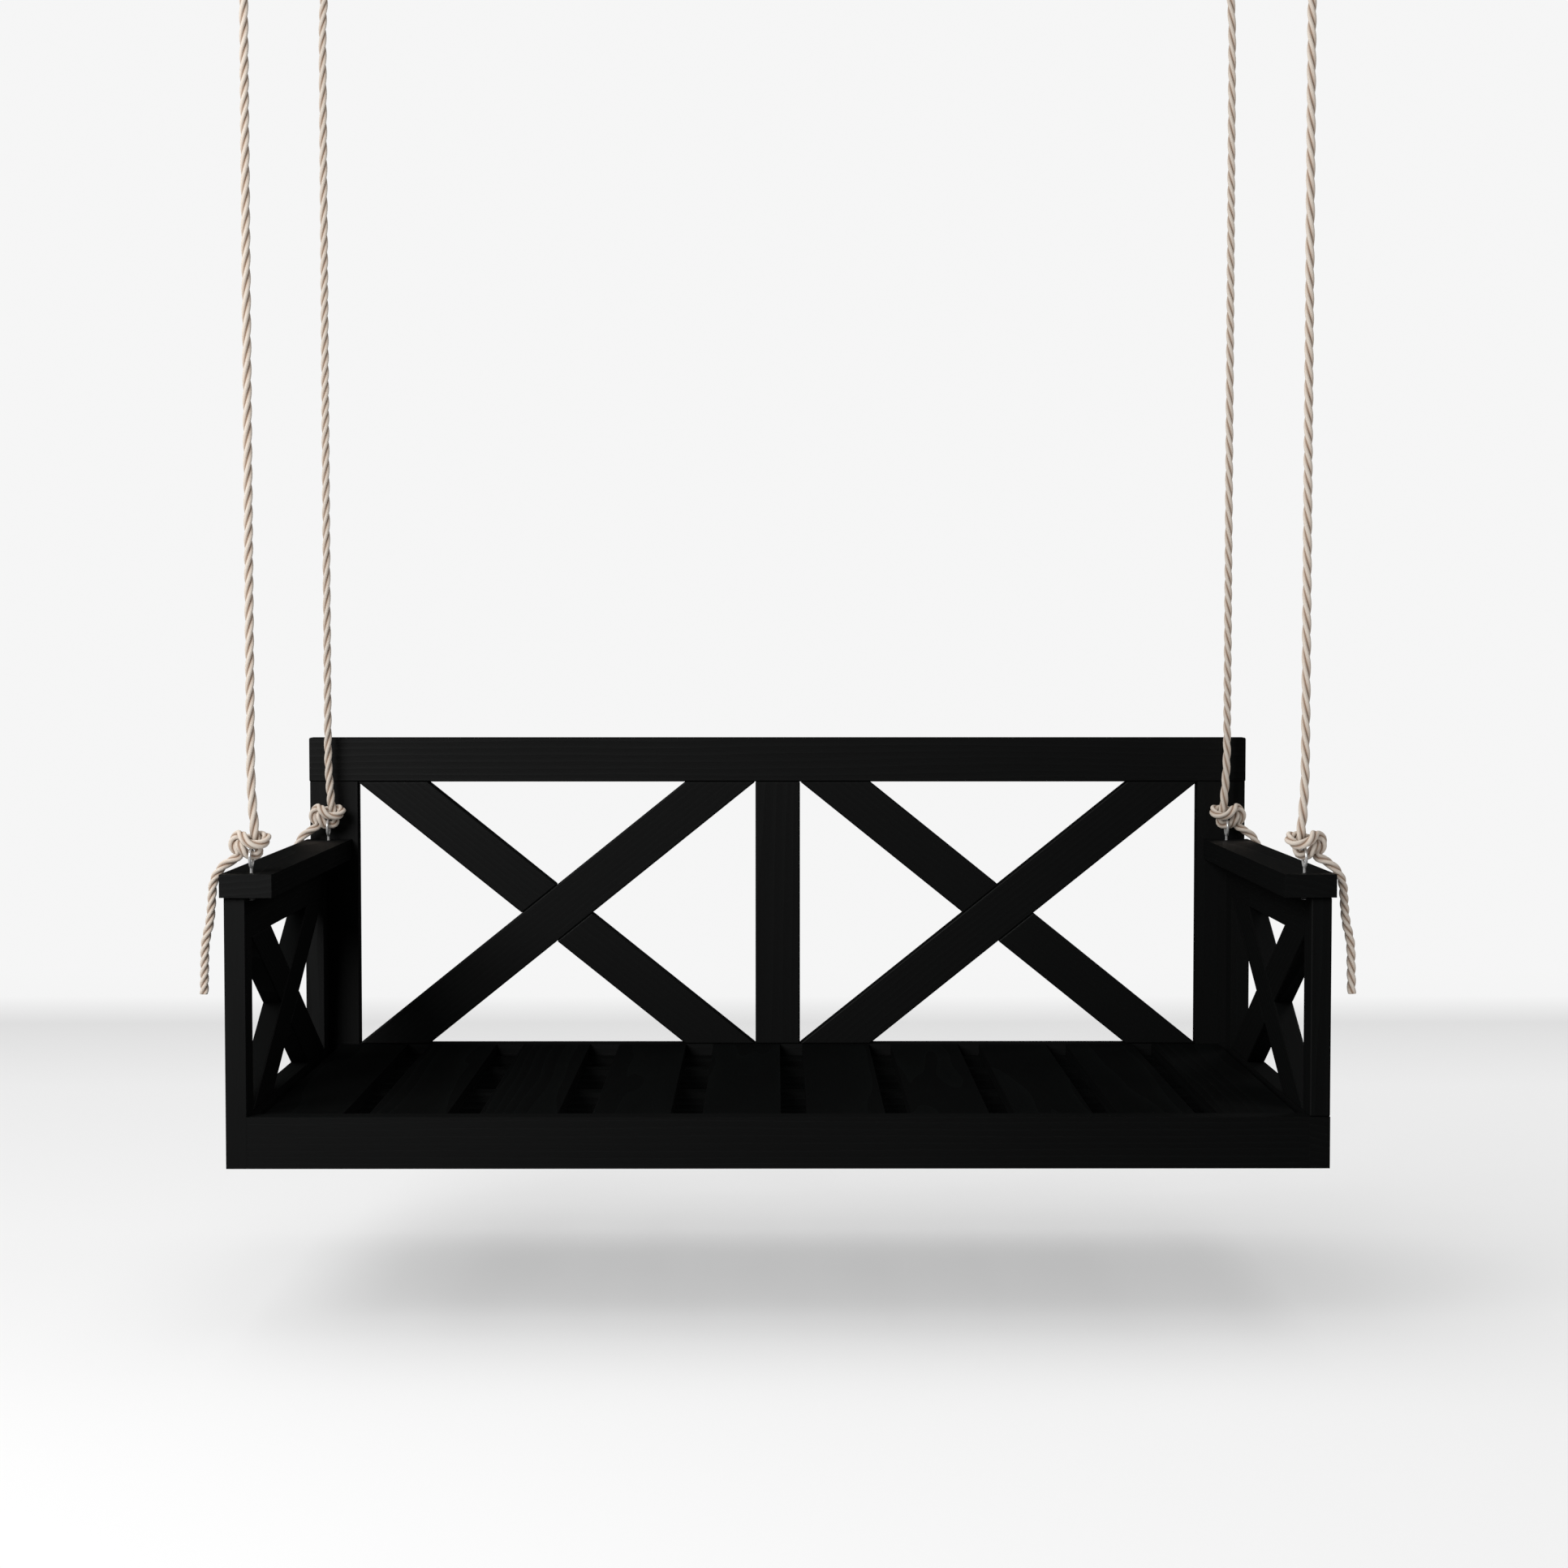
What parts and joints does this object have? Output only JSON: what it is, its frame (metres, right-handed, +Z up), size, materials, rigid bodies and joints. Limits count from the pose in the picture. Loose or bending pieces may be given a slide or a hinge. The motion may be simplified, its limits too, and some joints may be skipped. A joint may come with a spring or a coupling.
{
  "type": "porch swing",
  "caption": "Black slatted porch bench with crossed braces in its back and sides, hung level by ropes knotted through eye bolts on the arms and rings on ceiling plates.",
  "frame": {"origin": "middle of the bench's plan at the height of the underside of its rails, with the swing hanging at rest", "axes": "+Z up to the ceiling, +X from the left arm to the right arm as seen from the front, the front faces -Y"},
  "size_m": [1.5988, 0.762, 1.833],
  "materials": {
    "timber": "black stain, satin, with fine grain",
    "rope": "three-strand twisted cotton, natural",
    "eye_steel": "bright plated steel",
    "plate_steel": "zinc plated, brushed",
    "screw_black": "black oxide, satin"
  },
  "bodies": {
    "hangers": {"ceiling_plates": "plate_steel"},
    "rope_front_left": {"rope_front_left": "rope", "upper_knot_front_left": "rope", "knot_front_left": "rope", "tail_front_left": "rope"},
    "rope_front_right": {"rope_front_right": "rope", "upper_knot_front_right": "rope", "knot_front_right": "rope", "tail_front_right": "rope"},
    "rope_rear_left": {"rope_rear_left": "rope", "upper_knot_rear_left": "rope", "knot_rear_left": "rope", "tail_rear_left": "rope"},
    "rope_rear_right": {"rope_rear_right": "rope", "upper_knot_rear_right": "rope", "knot_rear_right": "rope", "tail_rear_right": "rope"},
    "seat": {"arm_left": "timber", "arm_right": "timber", "back_brace_cut_left": "timber", "back_brace_cut_right": "timber", "back_brace_left": "timber", "back_brace_right": "timber", "back_post_left": "timber", "back_post_right": "timber", "back_stile": "timber", "back_top_rail": "timber", "deck_screws": "screw_black", "eye_bolts": "eye_steel", "eye_nuts": "screw_black", "frame_screws": "screw_black", "front_post_left": "timber", "front_post_right": "timber", "front_seat_rail": "timber", "rear_post_left": "timber", "rear_post_right": "timber", "rear_seat_rail": "timber", "seat_bearer_front": "timber", "seat_bearer_rear": "timber", "seat_ledger_front": "timber", "seat_ledger_rear": "timber", "seat_slat_01": "timber", "seat_slat_02": "timber", "seat_slat_03": "timber", "seat_slat_04": "timber", "seat_slat_05": "timber", "seat_slat_06": "timber", "seat_slat_07": "timber", "seat_slat_08": "timber", "seat_slat_09": "timber", "seat_slat_10": "timber", "side_brace_cut_left": "timber", "side_brace_cut_right": "timber", "side_brace_left": "timber", "side_brace_right": "timber", "side_lower_rail_left": "timber", "side_lower_rail_right": "timber", "side_upper_rail_left": "timber", "side_upper_rail_right": "timber"}
  },
  "joints": [
    {"name": "swing", "type": "hinge", "parent": "hangers", "child": "rope_front_left", "pos_m": [-0.7268, -0.348, 1.813], "axis": [1, 0, 0], "range_deg": [-7.5, 20]},
    {"name": "rope_turn_front_right", "type": "hinge", "parent": "hangers", "child": "rope_front_right", "pos_m": [0.7268, -0.348, 1.813], "axis": [1, 0, 0], "range_deg": [-7.5, 20]},
    {"name": "rope_turn_rear_left", "type": "hinge", "parent": "hangers", "child": "rope_rear_left", "pos_m": [-0.7268, 0.321, 1.813], "axis": [1, 0, 0], "range_deg": [-7.5, 20]},
    {"name": "rope_turn_rear_right", "type": "hinge", "parent": "hangers", "child": "rope_rear_right", "pos_m": [0.7268, 0.321, 1.813], "axis": [1, 0, 0], "range_deg": [-7.5, 20]},
    {"name": "seat_level", "type": "hinge", "parent": "rope_front_left", "child": "seat", "pos_m": [-0.7268, -0.348, 0.428], "axis": [1, 0, 0], "range_deg": [-20, 7.5]}
  ],
  "couplings": [
    {"joint": "rope_turn_front_right", "follows": "swing", "ratio": 1},
    {"joint": "rope_turn_rear_left", "follows": "swing", "ratio": 1},
    {"joint": "rope_turn_rear_right", "follows": "swing", "ratio": 1},
    {"joint": "seat_level", "follows": "swing", "ratio": -1}
  ]
}
